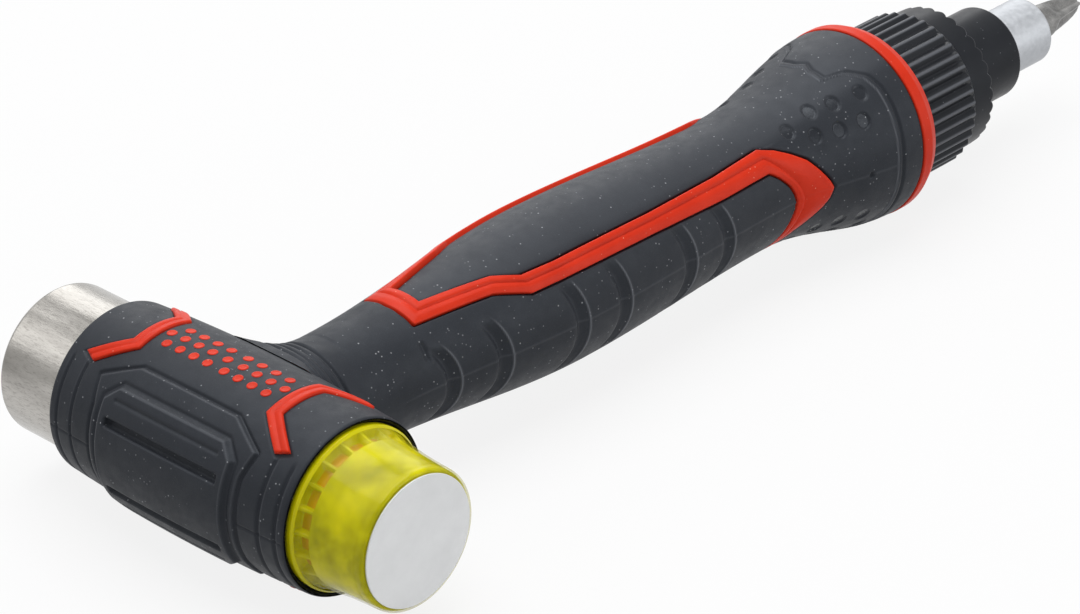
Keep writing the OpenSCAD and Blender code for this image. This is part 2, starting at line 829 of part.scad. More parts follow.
// Cross-point bit: hexagon shank, round stem, and a point with four flutes
bit_neck = 1.5;
point_len = 9;
point_d = 2.2;
flute_r = 1.9;
module screwdriver_bit() {
    hex_end = sleeve_end + 1;
    stem_end = tip_x - point_len;
    color("gray") difference() {
        union() {
            hexagon_bar(bit_x, hex_end, bit_flats);
            translate([hex_end, 0, 0]) along_x() cylinder(d1 = bit_flats, d2 = bit_stem_d, h = bit_neck);
            bar_x(hex_end + bit_neck, stem_end, bit_stem_d);
            translate([stem_end, 0, 0]) along_x()
                cylinder(d1 = bit_stem_d, d2 = point_d, h = point_len);
        }
        for (a = [45:90:315]) rotate([a, 0, 0])
            translate([stem_end + 2.5, 0, bit_stem_d / 2 + flute_r * 0.75]) rotate([0, 102, 0])
                translate([0, 0, -2]) cylinder(r = flute_r, h = point_len + 6);
    }
}

in_row_frame() head_block();
in_row_frame() head_cover();
in_row_frame() head_chevrons();
in_row_frame() head_dots();
in_row_frame() shaft_tube();
in_row_frame() shaft_pin();
in_row_frame() steel_face();
in_row_frame() steel_face_washer();
in_row_frame() plastic_face();
in_row_frame() plastic_face_stud();
in_row_frame() plastic_face_washer();
in_row_frame() face_label();
in_row_frame() handle_core();
in_row_frame() handle_grip();
in_row_frame() upper_trim();
in_row_frame() lower_trim();
in_row_frame() front_hook_trim();
in_row_frame() rear_hook_trim();
in_row_frame() ratchet_housing();
in_row_frame() front_cap();
in_row_frame() bearing_bush();
in_row_frame() selector_ring();
in_row_frame() detent_spring();
in_row_frame() ratchet_gear();
in_row_frame() spindle();
in_row_frame() spindle_clip();
in_row_frame() thrust_washer();
in_row_frame() left_pawl();
in_row_frame() right_pawl();
in_row_frame() pawl_pins();
in_row_frame() left_pawl_spring();
in_row_frame() right_pawl_spring();
in_row_frame() bit_sleeve();
in_row_frame() socket_magnet();
in_row_frame() bit_clip();
in_row_frame() screwdriver_bit();
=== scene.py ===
import bpy
import math
import numpy as np
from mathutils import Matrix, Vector


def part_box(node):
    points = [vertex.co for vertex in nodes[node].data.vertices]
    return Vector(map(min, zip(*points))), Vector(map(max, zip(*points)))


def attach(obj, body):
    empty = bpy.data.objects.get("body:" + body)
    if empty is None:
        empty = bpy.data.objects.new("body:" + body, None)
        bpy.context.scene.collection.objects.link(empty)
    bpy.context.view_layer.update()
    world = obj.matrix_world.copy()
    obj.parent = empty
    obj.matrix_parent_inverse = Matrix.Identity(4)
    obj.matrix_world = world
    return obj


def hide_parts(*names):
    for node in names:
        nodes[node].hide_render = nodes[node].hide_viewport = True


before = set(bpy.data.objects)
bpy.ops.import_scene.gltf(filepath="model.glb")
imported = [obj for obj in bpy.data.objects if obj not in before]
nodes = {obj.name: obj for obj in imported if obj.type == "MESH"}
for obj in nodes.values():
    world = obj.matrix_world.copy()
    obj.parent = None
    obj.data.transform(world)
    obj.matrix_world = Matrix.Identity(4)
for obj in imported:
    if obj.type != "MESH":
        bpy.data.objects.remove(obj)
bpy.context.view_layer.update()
scene = bpy.context.scene

# local millimetres: the head's axis runs along y and the handle's along x, and they cross at zero
blockLow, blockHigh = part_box("head_block")
spindleLow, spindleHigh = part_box("spindle")
origin = np.array([
    (blockLow.x + blockHigh.x) / 2,
    (spindleLow.y + spindleHigh.y) / 2,
    (spindleLow.z + spindleHigh.z) / 2])
fullTurn = 2 * math.pi
print("frame loaded", len(nodes), "nodes")


# shader helpers

def mathNode(tree, operation, *values):
    node = tree.nodes.new("ShaderNodeMath")
    node.operation = operation
    for i, value in enumerate(values):
        if isinstance(value, float):
            node.inputs[i].default_value = value
        else:
            tree.links.new(value, node.inputs[i])
    return node.outputs[0]


# the usual input span suits noise, which seldom leaves the middle
def spread(tree, value, low, high, fromLow=0.3, fromHigh=0.7):
    span = tree.nodes.new("ShaderNodeMapRange")
    span.inputs["From Min"].default_value = fromLow
    span.inputs["From Max"].default_value = fromHigh
    span.inputs["To Min"].default_value = low
    span.inputs["To Max"].default_value = high
    tree.links.new(value, span.inputs["Value"])
    return span.outputs["Result"]


# one for rays that show the background: straight, mirrored or through something clear
def seenRays(tree):
    path = tree.nodes.new("ShaderNodeLightPath")
    seen = path.outputs["Is Camera Ray"]
    for ray in ("Is Glossy Ray", "Is Transmission Ray"):
        seen = mathNode(tree, "MAXIMUM", seen, path.outputs[ray])
    return seen


# materials

coolTint = (0.84, 0.91, 1)
polishDrop = 0.36  # how much smoother a fully polished spot is
plainIor = 1.5
plainSockets = [
    ("Metallic", "metal", 0), ("Alpha", "alpha", 1), ("Coat Weight", "coat", 0),
    ("Coat Roughness", "coatRough", 0.1), ("Specular IOR Level", "gloss", 0.5)]


def makeMaterial(name, look):
    mat = bpy.data.materials.new(name)
    mat.use_nodes = True
    tree = mat.node_tree
    shader = tree.nodes["Principled BSDF"]
    coords = tree.nodes.new("ShaderNodeTexCoord")
    mapping = tree.nodes.new("ShaderNodeMapping")
    mapping.inputs["Scale"].default_value = look.get("stretch", (1, 1, 1))
    tree.links.new(coords.outputs["Object"], mapping.inputs["Vector"])

    def noise(scale, detail=3.0, rough=0.6):
        tex = tree.nodes.new("ShaderNodeTexNoise")
        tex.inputs["Scale"].default_value = scale
        tex.inputs["Detail"].default_value = detail
        tex.inputs["Roughness"].default_value = rough
        tree.links.new(mapping.outputs["Vector"], tex.inputs["Vector"])
        return tex.outputs["Fac"]

    def layer(name):
        values = tree.nodes.new("ShaderNodeAttribute")
        values.attribute_name = name
        return values.outputs["Fac"]

    def mixColour(factor, a, b):
        mix = tree.nodes.new("ShaderNodeMix")
        mix.data_type = "RGBA"
        tree.links.new(factor, mix.inputs["Factor"])
        for socket, value in (("A", a), ("B", b)):
            spot = [s for s in mix.inputs if s.name == socket and s.type == "RGBA"][0]
            if isinstance(value, tuple):
                spot.default_value = (*value, 1)
            else:
                tree.links.new(value, spot)
        return [s for s in mix.outputs if s.type == "RGBA"][0]

    colour = mixColour(spread(tree, noise(look["patchScale"]), 0, 1), look["dark"], look["light"])
    grit = look.get("grit")
    if grit:
        grains = spread(tree, noise(grit["scale"], 2.0, 0.7), 0, grit["share"], 0.5, 0.8)
        colour = mixColour(grains, colour, grit["colour"])
    specks = look.get("specks")
    if specks:
        cells = tree.nodes.new("ShaderNodeTexVoronoi")
        cells.inputs["Scale"].default_value = specks["scale"]
        tree.links.new(mapping.outputs["Vector"], cells.inputs["Vector"])
        pick = tree.nodes.new("ShaderNodeSeparateColor")
        tree.links.new(cells.outputs["Color"], pick.inputs["Color"])
        small = spread(tree, cells.outputs["Distance"], 1, 0, specks["size"] * 0.5, specks["size"])
        some = spread(tree, pick.outputs["Red"], 0, specks["share"], specks["few"], specks["few"] + 0.05)
        uneven = mathNode(tree, "MULTIPLY", some, spread(tree, pick.outputs["Green"], 0.25, 1, 0, 1))
        colour = mixColour(mathNode(tree, "MULTIPLY", small, uneven), colour, specks["colour"])
    rough = spread(tree, noise(look.get("roughScale", 400)), *look["rough"])
    # the layer read here lightens edges, crests and patches: partly real wear and dust, partly painted
    # highlight and sheen
    if "wornAndLit" in look:
        colour = mixColour(layer("wearAndHighlight"), colour, look["wornAndLit"])
        rough = mathNode(tree, "MULTIPLY_ADD", layer("polish"), -polishDrop, rough)
    tree.links.new(colour, shader.inputs["Base Color"])
    tree.links.new(rough, shader.inputs["Roughness"])
    shader.inputs["IOR"].default_value = plainIor
    for socket, key, usual in plainSockets:
        shader.inputs[socket].default_value = look.get(key, usual)
    shader.inputs["Specular Tint"].default_value = (*look.get("tint", (1, 1, 1)), 1)
    if "bump" in look:
        bump = tree.nodes.new("ShaderNodeBump")
        bump.inputs["Strength"].default_value = look["bump"]["strength"]
        bump.inputs["Distance"].default_value = look["bump"]["depth"]
        tree.links.new(noise(look["bump"]["scale"], 3.0, 0.65), bump.inputs["Height"])
        tree.links.new(bump.outputs["Normal"], shader.inputs["Normal"])
    return mat


rubber = makeMaterial("black rubber", {
    "dark": (0.0105, 0.0118, 0.0152), "light": (0.0160, 0.0178, 0.0222), "patchScale": 90,
    "rough": (0.44, 0.58), "gloss": 0.22, "tint": coolTint, "wornAndLit": (0.19, 0.2, 0.222),
    "grit": {"scale": 5200, "share": 0.3, "colour": (0.042, 0.046, 0.055)},
    "specks": {"scale": 1500, "size": 0.26, "few": 0.86, "colour": (0.36, 0.37, 0.39), "share": 0.8},
    "bump": {"scale": 6500, "strength": 0.35, "depth": 0.00006}})
redPlastic = makeMaterial("red plastic", {
    "dark": (0.49, 0.020, 0.004), "light": (0.56, 0.027, 0.007), "patchScale": 160,
    "rough": (0.36, 0.46), "gloss": 0.12,
    "grit": {"scale": 4000, "share": 0.12, "colour": (0.70, 0.08, 0.035)},
    "specks": {"scale": 1500, "size": 0.2, "few": 0.9, "colour": (0.8, 0.42, 0.3), "share": 0.7},
    "bump": {"scale": 4200, "strength": 0.2, "depth": 0.00004}})
blackPlastic = makeMaterial("black plastic", {
    "dark": (0.0070, 0.0076, 0.0096), "light": (0.0105, 0.0113, 0.0138), "patchScale": 140,
    "rough": (0.28, 0.38), "gloss": 0.15, "tint": coolTint, "wornAndLit": (0.15, 0.157, 0.175),
    "specks": {"scale": 1500, "size": 0.2, "few": 0.9, "colour": (0.25, 0.26, 0.28), "share": 0.7},
    "bump": {"scale": 3800, "strength": 0.2, "depth": 0.00004}})
# its dark and light streaks, stretched along the face's axis, are partly brushed grain and partly painted
# reflection bands
faceSteel = makeMaterial("face steel", {
    "dark": (0.20, 0.191, 0.177), "light": (0.50, 0.482, 0.452), "patchScale": 130,
    "stretch": (1, 0.16, 1), "rough": (0.17, 0.28), "roughScale": 900, "metal": 1,
    "grit": {"scale": 4200, "share": 0.75, "colour": (0.15, 0.141, 0.129)},
    "bump": {"scale": 2600, "strength": 0.3, "depth": 0.00008}})
sleeveAlloy = makeMaterial("satin alloy", {
    "dark": (0.37, 0.384, 0.405), "light": (0.44, 0.455, 0.478), "patchScale": 900,
    "rough": (0.4, 0.52), "roughScale": 900, "metal": 1,
    "bump": {"scale": 1600, "strength": 0.12, "depth": 0.00004}})
bitSteel = makeMaterial("bit steel", {
    "dark": (0.13, 0.13, 0.128), "light": (0.23, 0.227, 0.222), "patchScale": 500,
    "rough": (0.30, 0.45), "metal": 1,
    "grit": {"scale": 3000, "share": 0.3, "colour": (0.5, 0.49, 0.47)},
    "bump": {"scale": 2500, "strength": 0.2, "depth": 0.00005}})
brightSteel = makeMaterial("turned steel", {
    "dark": (0.48, 0.48, 0.49), "light": (0.62, 0.62, 0.63), "patchScale": 200,
    "stretch": (1, 9, 1), "rough": (0.25, 0.38), "metal": 1,
    "bump": {"scale": 500, "strength": 0.15, "depth": 0.00004}})
forgedSteel = makeMaterial("forged steel", {
    "dark": (0.20, 0.20, 0.205), "light": (0.33, 0.33, 0.335), "patchScale": 350,
    "rough": (0.4, 0.6), "metal": 1,
    "bump": {"scale": 1400, "strength": 0.35, "depth": 0.0001}})
springSteel = makeMaterial("spring steel", {
    "dark": (0.38, 0.39, 0.42), "light": (0.50, 0.51, 0.53), "patchScale": 300,
    "rough": (0.22, 0.34), "metal": 1,
    "bump": {"scale": 2000, "strength": 0.1, "depth": 0.00003}})
bronze = makeMaterial("bronze", {
    "dark": (0.38, 0.22, 0.07), "light": (0.52, 0.33, 0.13), "patchScale": 500,
    "rough": (0.35, 0.5), "metal": 1,
    "bump": {"scale": 2600, "strength": 0.25, "depth": 0.00005}})
labelPaper = makeMaterial("label paper", {
    "dark": (0.70, 0.71, 0.715), "light": (0.75, 0.76, 0.765), "patchScale": 220,
    "rough": (0.42, 0.52), "gloss": 0.2,
    "grit": {"scale": 5000, "share": 0.12, "colour": (0.58, 0.58, 0.60)},
    "bump": {"scale": 3000, "strength": 0.08, "depth": 0.00003}})
clearFinish = {"gloss": 0.12, "coat": 0.1, "coatRough": 0.02,
               "bump": {"scale": 260, "strength": 0.06, "depth": 0.0001}}
yellowClear = makeMaterial("clear yellow", {
    "dark": (0.46, 0.425, 0.001), "light": (0.56, 0.52, 0.002), "patchScale": 130,
    "rough": (0.05, 0.10), "alpha": 0.32, **clearFinish})
# the rim is painted brighter and less clear than the shell: painted light on the flange that the cover shades
yellowRim = makeMaterial("yellow rim", {
    "dark": (0.62, 0.57, 0.001), "light": (0.74, 0.68, 0.002), "patchScale": 200,
    "rough": (0.06, 0.12), "alpha": 0.74, **clearFinish})
yellowCore = makeMaterial("cloudy yellow", {
    "dark": (0.33, 0.32, 0.001), "light": (0.84, 0.77, 0.002), "patchScale": 170,
    "rough": (0.1, 0.25), "gloss": 0.15,
    "bump": {"scale": 420, "strength": 0.2, "depth": 0.00012}})
amberClear = makeMaterial("amber pocket", {
    "dark": (0.55, 0.17, 0.001), "light": (0.72, 0.27, 0.002), "patchScale": 260,
    "rough": (0.3, 0.4), "gloss": 0.3,
    "bump": {"scale": 700, "strength": 0.15, "depth": 0.0001}})
print("materials made")


# mesh helpers

def meshPiece(name, points, faces, mat, body, replaced, layers=None):
    mesh = bpy.data.meshes.new(name)
    mesh.from_pydata((points.reshape(-1, 3) / 1000 + origin).tolist(), [], faces)
    mesh.polygons.foreach_set("use_smooth", np.ones(len(mesh.polygons), bool))
    mesh.materials.append(mat)
    for key, values in (layers or {}).items():
        store = mesh.attributes.new(key, "FLOAT", "POINT").data
        store.foreach_set("value", np.ascontiguousarray(values, np.float32).ravel())
    piece = bpy.data.objects.new(name, mesh)
    scene.collection.objects.link(piece)
    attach(piece, body)
    if replaced:
        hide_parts(*replaced)


def gridPiece(name, points, mat, body, replaced, wrapU=True, flip=False, layers=None):
    rows, cols = points.shape[:2]
    index = np.arange(rows * cols).reshape(rows, cols)
    if wrapU:
        index = np.concatenate([index, index[:1]], 0)
    quads = np.stack([index[:-1, :-1], index[1:, :-1], index[1:, 1:], index[:-1, 1:]], -1).reshape(-1, 4)
    if flip:
        quads = quads[:, ::-1]
    meshPiece(name, points, quads.tolist(), mat, body, replaced, layers)


rounding = {"steps": 4, "supportGap": 0.12, "supportShare": 0.3}


# profile of (station, radius) corners, each with its own rounding, with support points beside each round
def roundedProfile(corners):
    out = []
    for i, (a, r, fillet) in enumerate(corners):
        here = np.array([a, r], float)
        if fillet == 0 or i in (0, len(corners) - 1):
            out.append(here)
            continue
        back = np.array(corners[i - 1][:2], float) - here
        ahead = np.array(corners[i + 1][:2], float) - here
        u = back / np.linalg.norm(back)
        v = ahead / np.linalg.norm(ahead)
        angle = math.acos(max(-1, min(1, float(u @ v))))
        run = fillet / math.tan(angle / 2)
        centre = here + (u + v) / np.linalg.norm(u + v) * fillet / math.sin(angle / 2)
        start, stop = here + u * run, here + v * run
        out.append(start + u * min(rounding["supportGap"], np.linalg.norm(back) * rounding["supportShare"]))
        turnStart = math.atan2(*(start - centre)[::-1])
        turn = math.atan2(*(stop - centre)[::-1]) - turnStart
        turn = (turn + math.pi) % fullTurn - math.pi
        for k in range(rounding["steps"] + 1):
            t = turnStart + turn * k / rounding["steps"]
            out.append(centre + fillet * np.array([math.cos(t), math.sin(t)]))
        out.append(stop + v * min(rounding["supportGap"], np.linalg.norm(ahead) * rounding["supportShare"]))
    return np.array(out)


# profile points of one radius
def level(radius, stations):
    return np.array([(station, radius) for station in stations])


def circle(count):
    return np.linspace(0, fullTurn, count, endpoint=False)


# a profile turned about its axis; radius may change it along the way and round the turn
def spun(profile, axis, count=192, radius=None):
    turn = circle(count)[:, None]
    along = np.broadcast_to(profile[None, :, 0], (count, len(profile)))
    r = np.broadcast_to(profile[None, :, 1], along.shape)
    if radius:
        r = radius(along, turn, r)
    if axis == "x":
        return np.stack([along, -r * np.sin(turn), r * np.cos(turn)], -1)
    return np.stack([-r * np.sin(turn), along, r * np.cos(turn)], -1)


def ease(t):
    return (1 - np.cos(math.pi * np.clip(t, 0, 1))) / 2


def bell(distance, width):
    return np.exp(-(distance / width) ** 2)


def step(value, width):
    t = np.clip(value / width + 0.5, 0, 1)
    return t * t * (3 - 2 * t)


# signed distance to a closed outline, negative inside
def outlineDistance(u, v, outline):
    best = np.full(u.shape, 1e9)
    inside = np.zeros(u.shape, bool)
    count = len(outline)
    for i in range(count):
        (x0, y0), (x1, y1) = outline[i], outline[(i + 1) % count]
        dx, dy = x1 - x0, y1 - y0
        t = np.clip(((u - x0) * dx + (v - y0) * dy) / (dx * dx + dy * dy), 0, 1)
        best = np.minimum(best, np.hypot(u - x0 - t * dx, v - y0 - t * dy))
        crosses = (y0 > v) != (y1 > v)
        if dy:
            inside ^= crosses & (u < x0 + (v - y0) / dy * dx)
    return np.where(inside, -best, best)


# grip

grip = {"neckX": 22, "neckR": 10.9, "bellyX": 74, "bellyR": 14.8, "waistX": 123, "waistR": 13.2,
        "pommelX": 155.4, "pommelR": 18.3, "start": 9.65, "flareX": 9, "flareRise": 8, "flareStop": 0.97,
        "levelGap": 0.5, "levelSlope": 0.17, "levelFade": 6, "levelFirm": 2.2,
        "endRound": 0.9, "endDrop": 0.5, "lipShare": 0.8, "turnStep": 0.75}


def gripRadius(x):
    x = np.asarray(x, float)
    u = np.clip((grip["neckX"] - x) / (grip["neckX"] - grip["flareX"]), 0, grip["flareStop"])
    r = grip["neckR"] + grip["flareRise"] * (1 - np.sqrt(1 - u * u))
    for start, stop in (("neck", "belly"), ("belly", "waist"), ("waist", "pommel")):
        x0, x1 = grip[start + "X"], grip[stop + "X"]
        r0, r1 = grip[start + "R"], grip[stop + "R"]
        r = np.where(x >= x0, r0 + (r1 - r0) * ease((x - x0) / (x1 - x0)), r)
    return r


# angle runs from the top towards the plastic face's side; the flare is held level at top and bottom
def gripPoint(x, angle, rise):
    r = gripRadius(x) + rise
    z = r * np.cos(angle)
    before = np.clip(grip["neckX"] - x, 0, None)
    after = np.clip(x - grip["neckX"], 0, None)
    limit = grip["neckR"] + grip["levelGap"] + grip["levelSlope"] * before + grip["levelFade"] * after + rise
    firm = grip["levelFirm"]
    z = np.sign(z) * -np.logaddexp(-firm * np.abs(z), -firm * limit) / firm
    return np.stack([x, -r * np.sin(angle), z], -1)


# red trim: matched points of its panel edge and its finger edge, from the top round to the bottom, as
# (x, angle), and the share of its width at which its fine line runs
trim = {
    "panelEdge": [
        (40, 0), (40, 16), (53.7, 28.5), (58.8, 39), (66, 41.2), (90, 42), (108, 40.3), (120.4, 36.5),
        (123.9, 43.3), (126.8, 51.9), (129.6, 61.6), (131.7, 72.9), (133.5, 83.2), (134.4, 90),
        (133.6, 97), (132, 104), (129.6, 112.3), (126.9, 121.4), (124.4, 138), (122.4, 152.8),
        (118, 152.3), (90, 152.2), (66, 152.8), (59, 153.5), (53, 160.7), (40, 168.9), (40, 180)],
    "fingerEdge": [
        (35.8, 0), (36.2, 31.5), (52.3, 41), (59.3, 54), (66, 55), (90, 56.7), (108, 58.8), (120.6, 57.7),
        (121.6, 61), (122.5, 64.2), (123.6, 69.5), (124.6, 74.5), (125.5, 82.4), (126, 90),
        (125.7, 97.6), (125.2, 104), (124.7, 111), (124.2, 117.7), (122.9, 130), (121.6, 146.2),
        (118, 146.2), (90, 146.6), (66, 147), (59, 147.6), (53, 154.6), (36, 161), (35.8, 180)],
    "line": [
        0.45, 0.45, 0.45, 0.42, 0.41, 0.4, 0.38, 0.42, 0.62, 0.72, 0.78, 0.8, 0.82, 0.82,
        0.82, 0.8, 0.75, 0.65, 0.5, 0.45, 0.45, 0.45, 0.45, 0.45, 0.45, 0.45, 0.45],
    "perDegree": 0.24, "spacing": 0.45, "coarse": 5, "past": 6, "reach": (33, 137),
    "bed": 0.9, "bedGap": 0.33, "bedEdge": 0.4, "cleanGap": 0.88, "cleanEdge": 0.6,
    "flat": 0.42, "lineDepth": 0.24, "low": 0.02, "foot": -1.1,
    "seamDepth": 0.08, "seamWidth": 0.25, "seamR": 14, "flush": ([100, 132], [1, 0.05])}


def trimHalf(values, spacing):
    panelRun, fingerRun = np.array(trim["panelEdge"], float), np.array(trim["fingerEdge"], float)
    own = np.array(values, float)
    middle = (panelRun + fingerRun) / 2
    out = []
    for i in range(len(middle) - 1):
        run = np.hypot(middle[i + 1, 0] - middle[i, 0], (middle[i + 1, 1] - middle[i, 1]) * trim["perDegree"])
        count = max(1, int(math.ceil(run / spacing)))
        out += [own[i] + (own[i + 1] - own[i]) * k / count for k in range(count)]
    return np.array(out + [own[-1]])


def trimLoop(values, angled=True):
    half = trimHalf(values, trim["spacing"])
    other = half[::-1][1:-1].copy()
    if angled:
        other[:, 1] = -other[:, 1]
    return np.concatenate([half, other])


# distance to the trim on the unrolled grip, in millimetres
def trimDistance(x, folded):
    outline = []
    for edge, order in (("panelEdge", 1), ("fingerEdge", -1)):
        run = trimHalf(trim[edge], trim["coarse"])[::order]
        run = [(px, math.radians(pa) * float(gripRadius(px))) for px, pa in run]
        first = (run[0][0], run[0][1] - order * trim["past"])
        last = (run[-1][0], run[-1][1] + order * trim["past"])
        outline += [first] + run + [last]
    return outlineDistance(x, np.radians(folded) * gripRadius(x), outline)


# marks on the grip, with stations and x in millimetres and angles in degrees from the top
creases = {"stations": [41.2, 52.4, 69.9, 80.6, 98.2, 108.8], "middle": 97, "reach": 36, "fade": 16,
           "bow": 1.5, "bowSpan": 30, "lip": 0.18, "lipWidth": 0.3, "valley": 0.72, "back": 2.3,
           "steepSide": 0.7, "slowSide": 1.5, "wearAndHighlight": 0.55, "wearAndHighlightWidth": 0.15}
notch = {"x": 35.2, "width": 0.5, "angle": 56, "reach": 9, "fade": 6, "depth": 0.4}
dimples = {"spots": [(146, 38.5), (140.1, 35.1), (135.3, 31.1), (129.1, 35.6),
                     (143.6, 54.6), (138.4, 53), (133.5, 48.5)],
           "radius": 1.6, "edge": 0.35, "squash": 1.22, "depth": 0.36, "dish": 0.1,
           "shineShare": 0.92, "shineEdge": 0.3}
pommelEdge = {"angles": [0, 7, 17.5, 22, 31.8, 42, 56, 90],
              "stations": [142.2, 141.3, 141.4, 145.3, 148.4, 149.2, 149.2, 148.7],
              "rise": 0.24, "riseWidth": 0.35, "groove": 0.42, "grooveWidth": 0.3, "back": 1.2,
              "wearAndHighlight": 0.42, "wearAndHighlightWidth": 0.13}
neckRings = {"stations": [12.2, 13.8, 15.5, 17.2], "depth": 0.75, "width": 0.3, "reach": 66, "fade": 20}
gripSeam = {"angle": 90, "width": 0.2, "start": 30, "startFade": 6, "stop": 149, "stopFade": 2,
            "rise": 0.06, "wearAndHighlight": 0.09}
pinHole = {"x": 142.8, "angle": 90.4, "radius": 0.5, "edge": 0.4, "depth": 0.6}
panel = {"start": 40, "wearAndHighlight": 0.07, "topLighterFade": 10, "topLighterStart": 2,
         "topLighterStations": [39, 41, 58, 120, 150], "topLighterAngles": [0, 16, 36, 36, 30],
         "edgePoints": (1, 8), "drop": 0.5, "dropOver": 0.4, "dropEdge": 0.5, "dropStop": 122, "dropFade": 10}


# height over the plain grip, lighter lines and patches that are partly wear and dust and partly painted
# highlight and sheen, and polish
def gripMarks(x, angle):
    folded = np.degrees(np.abs((angle + math.pi) % fullTurn - math.pi))
    quarter = np.minimum(folded, 180 - folded)
    r = gripRadius(x)
    rise, wearAndHighlight, polish = np.zeros_like(x), np.zeros_like(x), np.zeros_like(x)

    m = creases
    fade = step(m["reach"] - np.abs(folded - m["middle"]), m["fade"])
    bow = m["bow"] * ((folded - m["middle"]) / m["bowSpan"]) ** 2
    for station in m["stations"]:
        gap = x - (station - bow)
        side = np.where(gap < -m["back"], m["steepSide"], m["slowSide"])
        rise += fade * (m["lip"] * bell(gap, m["lipWidth"]) - m["valley"] * bell(gap + m["back"], side))
        # each crease's crest is painted lighter: partly dust, partly painted highlight
        wearAndHighlight = np.maximum(wearAndHighlight, m["wearAndHighlight"] * fade * bell(gap, m["wearAndHighlightWidth"]))

    m = notch
    fade = step(m["reach"] - np.abs(folded - m["angle"]), m["fade"])
    rise -= m["depth"] * bell(x - m["x"], m["width"]) * fade

    m = dimples
    for spotX, spotAngle in m["spots"]:
        d = np.hypot((x - spotX) * m["squash"], np.radians(quarter - spotAngle) * r)
        pit = 1 - step(d - m["radius"], m["edge"])
        rise -= m["depth"] * pit * (1 - m["dish"] * np.clip(d / m["radius"], 0, 1) ** 2)
        polish = np.maximum(polish, 1 - step(d - m["radius"] * m["shineShare"], m["shineEdge"]))

    m = pommelEdge
    past = x - np.interp(quarter, m["angles"], m["stations"])
    rise += m["rise"] * step(past, m["riseWidth"]) - m["groove"] * bell(past - m["back"], m["grooveWidth"])
    wearAndHighlight = np.maximum(wearAndHighlight, m["wearAndHighlight"] * bell(past, m["wearAndHighlightWidth"]))

    m = neckRings
    for station in m["stations"]:
        rise -= m["depth"] * bell(x - station, m["width"]) * step(m["reach"] - quarter, m["fade"])

    m = gripSeam
    line = bell(np.radians(folded - m["angle"]) * r, m["width"])
    line *= step(x - m["start"], m["startFade"]) * (1 - step(x - m["stop"], m["stopFade"]))
    rise += m["rise"] * line
    wearAndHighlight = np.maximum(wearAndHighlight, m["wearAndHighlight"] * line)

    m = pinHole
    d = np.hypot(x - m["x"], np.radians(folded - m["angle"]) * r)
    rise -= m["depth"] * (1 - step(d - m["radius"], m["edge"]))

    m = panel
    # the top of the panel is painted lighter: partly dust, partly painted sheen from light falling on it
    topLighter = step(np.interp(x, m["topLighterStations"], m["topLighterAngles"]) - quarter, m["topLighterFade"])
    wearAndHighlight = np.maximum(wearAndHighlight, m["wearAndHighlight"] * topLighter * step(x - m["start"], m["topLighterStart"]))
    first, last = m["edgePoints"]  # the near band's part of the panel edge
    edgeX, edgeAngle = np.array(trim["panelEdge"][first:last], float).T
    inside = np.radians(np.interp(x, edgeX, edgeAngle) - folded) * r
    letIn = step(inside + m["dropOver"], m["dropEdge"]) * step(x - m["start"], m["dropEdge"])
    rise -= m["drop"] * letIn * (1 - step(x - m["dropStop"], m["dropFade"]))

    m = trim
    near = np.full_like(x, 9.0)  # clear of the trim
    some = (x[0] > m["reach"][0]) & (x[0] < m["reach"][1])
    near[:, some] = trimDistance(x[:, some], folded[:, some])
    rise -= m["bed"] * (1 - step(near - m["bedGap"], m["bedEdge"]))
    wearAndHighlight *= step(near - m["cleanGap"], m["cleanEdge"])

    end = np.clip((x - (grip["pommelX"] - grip["endRound"])) / grip["endRound"], 0, 1)
    rise -= grip["endDrop"] * (1 - np.sqrt(1 - end * end + 1e-9))
    return rise, wearAndHighlight, polish


# plain values for the lip that closes the grip's end
def withLip(values):
    return np.concatenate([values, values[:, -1:] * 0], 1)


stations = np.concatenate([
    np.arange(grip["start"], 34, 0.3), np.arange(34, 113, 0.2), np.arange(113, 126, 0.25),
    np.arange(126, 155.1, 0.2), [155.2, 155.3, 155.36, 155.4]])
turns = np.radians(np.arange(0, 360, grip["turnStep"]))
gridX, gridTurn = np.meshgrid(stations, turns)
rise, wearAndHighlight, polish = gripMarks(gridX, gridTurn)
skin = gripPoint(gridX, gridTurn, rise)
lip = skin[:, -1:, :].copy()
lip[:, :, 1:] *= grip["lipShare"]
skin = np.concatenate([skin, lip], 1)
gridPiece("rubber_grip", skin, rubber, "hammer_body", ["handle_grip"], flip=True,
          layers={"wearAndHighlight": withLip(wearAndHighlight), "polish": withLip(polish)})
print("grip made", skin.shape)

# the trim's section: share of the way from the panel edge to the finger edge, and height
panelLoop, fingerLoop = trimLoop(trim["panelEdge"]), trimLoop(trim["fingerEdge"])
line = trimLoop(trim["line"], False)[:, None]
one = np.ones_like(line)
flat, low, cut = trim["flat"], trim["low"], trim["lineDepth"]
section = [
    (0 * one, trim["foot"]), (0 * one, 0.1), (0.05 * line, flat - 0.1), (0.14 * line, flat),
    (0.5 * line, flat), (line - 0.05, flat), (line - 0.02, flat - cut), (line + 0.01, flat - cut),
    (line + 0.045, flat - 0.07), (0.5 + 0.5 * line, (flat + low) / 2), (0.95 * one, low + 0.08),
    (one, low), (one, trim["foot"] + 0.1)]
share = np.concatenate([across for across, up in section], 1)
height = np.array([up for across, up in section])[None, :]
trimX = panelLoop[:, :1] * (1 - share) + fingerLoop[:, :1] * share
trimTurn = np.radians(panelLoop[:, 1:] * (1 - share) + fingerLoop[:, 1:] * share)
trimAngle = np.abs(np.degrees(trimTurn))
seamLine = -trim["seamDepth"] * bell(np.radians(trimAngle - 90) * trim["seamR"], trim["seamWidth"])
flush = np.interp(trimAngle, *trim["flush"])
band = gripPoint(trimX, trimTurn, np.where(height > 0, height * flush + seamLine, height))
gridPiece("red_trim", band, redPlastic, "hammer_body",
          ["upper_trim", "lower_trim", "front_hook_trim", "rear_hook_trim"], flip=True)
print("trim made", band.shape)

